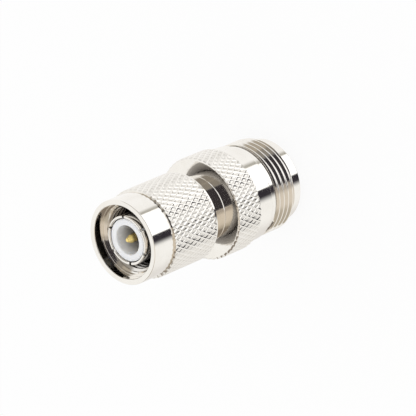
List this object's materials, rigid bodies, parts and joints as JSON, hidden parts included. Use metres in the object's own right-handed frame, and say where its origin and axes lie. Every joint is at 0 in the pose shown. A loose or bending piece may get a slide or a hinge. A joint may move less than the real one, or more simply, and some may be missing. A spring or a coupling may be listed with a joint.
{
  "type": "coax adapter",
  "caption": "Straight coaxial adapter: a threaded plug with a knurled coupling nut that turns, joined to a threaded socket with a knurled flange.",
  "frame": {"origin": "on the axis, at the end face of the socket's lip, on which the adapter stands", "axes": "+Z along the axis from the socket to the plug; X and Y across it"},
  "size_m": [0.0174, 0.0174, 0.0348],
  "materials": {
    "nickel_plate": "polished",
    "gold_plate": "polished",
    "white_dielectric": "satin",
    "seal_rubber": "matte",
    "spring_steel": "satin"
  },
  "bodies": {
    "adapter_body": {"uhf_body": "nickel_plate", "uhf_insulator": "white_dielectric", "socket_contact": "gold_plate", "tnc_body": "nickel_plate", "outer_contact": "nickel_plate", "tnc_insulator": "white_dielectric", "centre_pin": "gold_plate", "face_gasket": "seal_rubber", "retaining_ring": "spring_steel"},
    "nut": {"coupling_nut": "nickel_plate"}
  },
  "joints": [
    {"name": "nut_turn", "type": "hinge", "parent": "adapter_body", "child": "nut", "pos_m": [0, 0, 0.022], "axis": [0, 0, 1], "continuous": true}
  ]
}
